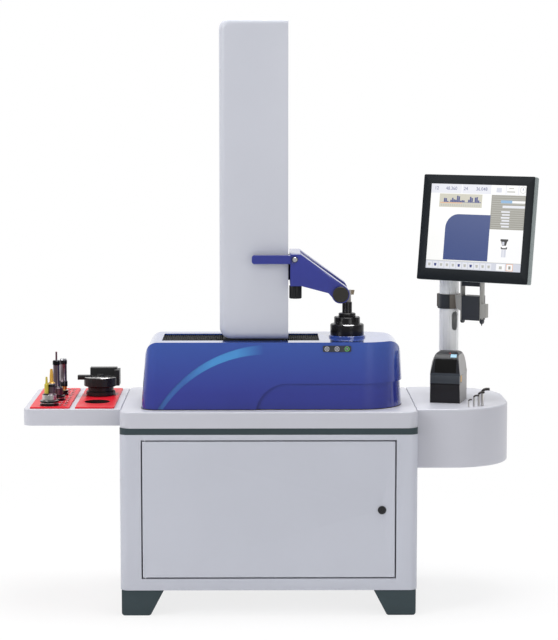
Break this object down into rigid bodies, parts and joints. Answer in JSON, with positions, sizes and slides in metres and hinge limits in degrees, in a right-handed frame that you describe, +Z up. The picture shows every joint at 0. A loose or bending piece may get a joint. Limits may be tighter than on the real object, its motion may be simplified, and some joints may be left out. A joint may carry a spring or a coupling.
{
  "type": "tool presetter",
  "caption": "Free-standing tool presetter: a tower with an optical carrier measures a tool in a spindle on a cabinet with a monitor, a label printer and tool racks.",
  "frame": {"origin": "on the floor, under the middle of the whole machine's footprint", "axes": "+X to the right as the user stands at the door, +Y to the back, +Z up"},
  "size_m": [1.6022, 0.5634, 1.843],
  "materials": {
    "sheet_grey": "light grey powder coat",
    "dark_foot": "dark grey-green paint",
    "worktop_laminate": "pale laminate with a moulded edge",
    "pin_steel": "ground steel",
    "blackened_steel": "turned and blackened",
    "black_plastic": "satin black moulding",
    "rack_red": "satin red moulding",
    "cover_blue": "glossy blue lacquer",
    "tower_grey": "light grey lacquer",
    "cast_bed": "machined casting",
    "bare_aluminium": "satin anodised",
    "black_rubber": "pleated cloth-backed rubber",
    "lens_glass": "coated glass",
    "screen_glass": "lit display",
    "carbide": "coated carbide",
    "printer_grey": "fine textured moulding",
    "latch_yellow": "yellow moulding"
  },
  "bodies": {
    "stand": {"cabinet_body": "sheet_grey", "cabinet_feet": "dark_foot", "trim_band": "dark_foot", "worktop": "worktop_laminate", "door_hinge_pins": "pin_steel", "side_tray": "worktop_laminate", "shank_rack": "rack_red", "holder_rack": "rack_red", "side_console": "worktop_laminate", "base_cover": "cover_blue", "machine_bed": "cast_bed", "bed_rails": "pin_steel", "control_strip": "black_plastic", "spindle_housing": "cover_blue", "spindle_bearings": "pin_steel", "monitor_pole": "bare_aluminium", "printer_base": "printer_grey", "bellows_left": "black_rubber", "bellows_right": "black_rubber"},
    "door": {"door_panel": "sheet_grey"},
    "lock": {"door_lock": "black_plastic"},
    "left_button": {"control_button_left": "black_plastic"},
    "middle_button": {"control_button_middle": "black_plastic"},
    "right_button": {"control_button_right": "black_plastic"},
    "tower": {"tower_foot": "cast_bed", "tower_housing": "tower_grey", "tower_column": "bare_aluminium", "column_rail": "pin_steel", "band_wrap": "pin_steel", "band_carriage_run": "pin_steel", "band_weight_run": "pin_steel"},
    "pulley": {"balance_pulley": "bare_aluminium"},
    "balance_weight": {"counterweight": "cast_bed"},
    "carrier": {"z_carriage": "pin_steel", "carrier_frame": "cover_blue", "carrier_handle": "cover_blue", "camera_housing": "black_plastic", "light_housing": "black_plastic", "optic_lenses": "lens_glass"},
    "release": {"release_button": "bare_aluminium"},
    "fine_adjust": {"fine_knob": "black_plastic"},
    "spindle_shaft": {"spindle": "pin_steel"},
    "seated_tool": {"tool_adapter": "blackened_steel", "boring_bar": "blackened_steel", "cutting_insert": "carbide"},
    "clamp": {"pole_clamp": "black_plastic"},
    "arm": {"monitor_arm": "bare_aluminium", "arm_box": "black_plastic"},
    "monitor": {"monitor_housing": "black_plastic", "monitor_screen": "screen_glass"},
    "lid": {"printer_lid": "printer_grey"},
    "latches": {"printer_latches": "latch_yellow"},
    "key_1": {"hex_key_1": "pin_steel"},
    "key_2": {"hex_key_2": "pin_steel"},
    "key_3": {"hex_key_3": "pin_steel"},
    "key_4": {"hex_key_4": "pin_steel"},
    "rack_chamfer_tool": {"chamfer_tool": "pin_steel"},
    "rack_drill_tool": {"drill_tool": "pin_steel"},
    "rack_bore_tool": {"bore_tool": "pin_steel"},
    "rack_turret_holder": {"turret_holder": "blackened_steel"}
  },
  "joints": [
    {"name": "door_hinge", "type": "hinge", "parent": "stand", "child": "door", "pos_m": [-0.4221, -0.27035, 0.333], "axis": [0, 0, -1], "range_deg": [0, 105]},
    {"name": "lock_turn", "type": "hinge", "parent": "door", "child": "lock", "pos_m": [0.3094, -0.27835, 0.3317], "axis": [0, -1, 0], "range_deg": [0, 90]},
    {"name": "left_button_press", "type": "slide", "parent": "stand", "child": "left_button", "axis": [0, 1, 0], "range_m": [0, 0.0015], "stiffness_N_per_m": 500},
    {"name": "middle_button_press", "type": "slide", "parent": "stand", "child": "middle_button", "axis": [0, 1, 0], "range_m": [0, 0.0015], "stiffness_N_per_m": 500},
    {"name": "right_button_press", "type": "slide", "parent": "stand", "child": "right_button", "axis": [0, 1, 0], "range_m": [0, 0.0015], "stiffness_N_per_m": 500},
    {"name": "tower_slide", "type": "slide", "parent": "stand", "child": "tower", "axis": [1, 0, 0], "range_m": [-0.15, 0.06], "deforming": ["bellows_left", "bellows_right"]},
    {"name": "carrier_slide", "type": "slide", "parent": "tower", "child": "carrier", "axis": [0, 0, 1], "range_m": [-0.1, 0.5], "deforming": ["band_carriage_run"]},
    {"name": "balance_slide", "type": "slide", "parent": "tower", "child": "balance_weight", "axis": [0, 0, 1], "range_m": [-0.5, 0.1], "deforming": ["band_weight_run"]},
    {"name": "pulley_turn", "type": "hinge", "parent": "tower", "child": "pulley", "pos_m": [-0.0391, -0.06985, 1.769], "axis": [0, 1, 0], "range_deg": [-680, 140]},
    {"name": "release_press", "type": "slide", "parent": "carrier", "child": "release", "axis": [0, 1, 0], "range_m": [0, 0.002], "stiffness_N_per_m": 500},
    {"name": "fine_turn", "type": "hinge", "parent": "carrier", "child": "fine_adjust", "pos_m": [0.0434, -0.16335, 0.998], "axis": [0, 0, 1], "continuous": true},
    {"name": "spindle_turn", "type": "hinge", "parent": "stand", "child": "spindle_shaft", "pos_m": [0.2079, -0.06735, 0.8], "axis": [0, 0, 1], "continuous": true},
    {"name": "tool_lift_out", "type": "slide", "parent": "spindle_shaft", "child": "seated_tool", "axis": [0, 0, 1], "range_m": [0, 0.15]},
    {"name": "clamp_height", "type": "slide", "parent": "stand", "child": "clamp", "axis": [0, 0, 1], "range_m": [-0.06, 0.12]},
    {"name": "monitor_swivel", "type": "hinge", "parent": "clamp", "child": "arm", "pos_m": [0.5449, 0.10165, 0.945], "axis": [0, 0, 1], "range_deg": [-60, 60]},
    {"name": "monitor_tilt", "type": "hinge", "parent": "arm", "child": "monitor", "pos_m": [0.61327, 0.0295, 1.17726], "axis": [0.829, -0.5592, 0], "range_deg": [-20, 15]},
    {"name": "lid_hinge", "type": "hinge", "parent": "stand", "child": "lid", "pos_m": [0.54773, 0.02246, 0.727], "axis": [-0.9659, 0.2588, 0], "range_deg": [0, 45]},
    {"name": "latch_press", "type": "slide", "parent": "stand", "child": "latches", "axis": [0.2588, 0.9659, 0], "range_m": [0, 0.003], "stiffness_N_per_m": 500},
    {"name": "key_1_lift_out", "type": "slide", "parent": "stand", "child": "key_1", "axis": [0, 0, 1], "range_m": [0, 0.1]},
    {"name": "key_2_lift_out", "type": "slide", "parent": "stand", "child": "key_2", "axis": [0, 0, 1], "range_m": [0, 0.1]},
    {"name": "key_3_lift_out", "type": "slide", "parent": "stand", "child": "key_3", "axis": [0, 0, 1], "range_m": [0, 0.1]},
    {"name": "key_4_lift_out", "type": "slide", "parent": "stand", "child": "key_4", "axis": [0, 0, 1], "range_m": [0, 0.1]},
    {"name": "chamfer_tool_lift_out", "type": "slide", "parent": "stand", "child": "rack_chamfer_tool", "axis": [0, 0, 1], "range_m": [0, 0.1]},
    {"name": "drill_tool_lift_out", "type": "slide", "parent": "stand", "child": "rack_drill_tool", "axis": [0, 0, 1], "range_m": [0, 0.1]},
    {"name": "bore_tool_lift_out", "type": "slide", "parent": "stand", "child": "rack_bore_tool", "axis": [0, 0, 1], "range_m": [0, 0.1]},
    {"name": "turret_holder_lift_out", "type": "slide", "parent": "stand", "child": "rack_turret_holder", "axis": [0, 0, 1], "range_m": [0, 0.1]}
  ],
  "couplings": [
    {"joint": "balance_slide", "follows": "carrier_slide", "ratio": -1},
    {"joint": "pulley_turn", "follows": "carrier_slide", "rad_per_m": -23.47}
  ]
}
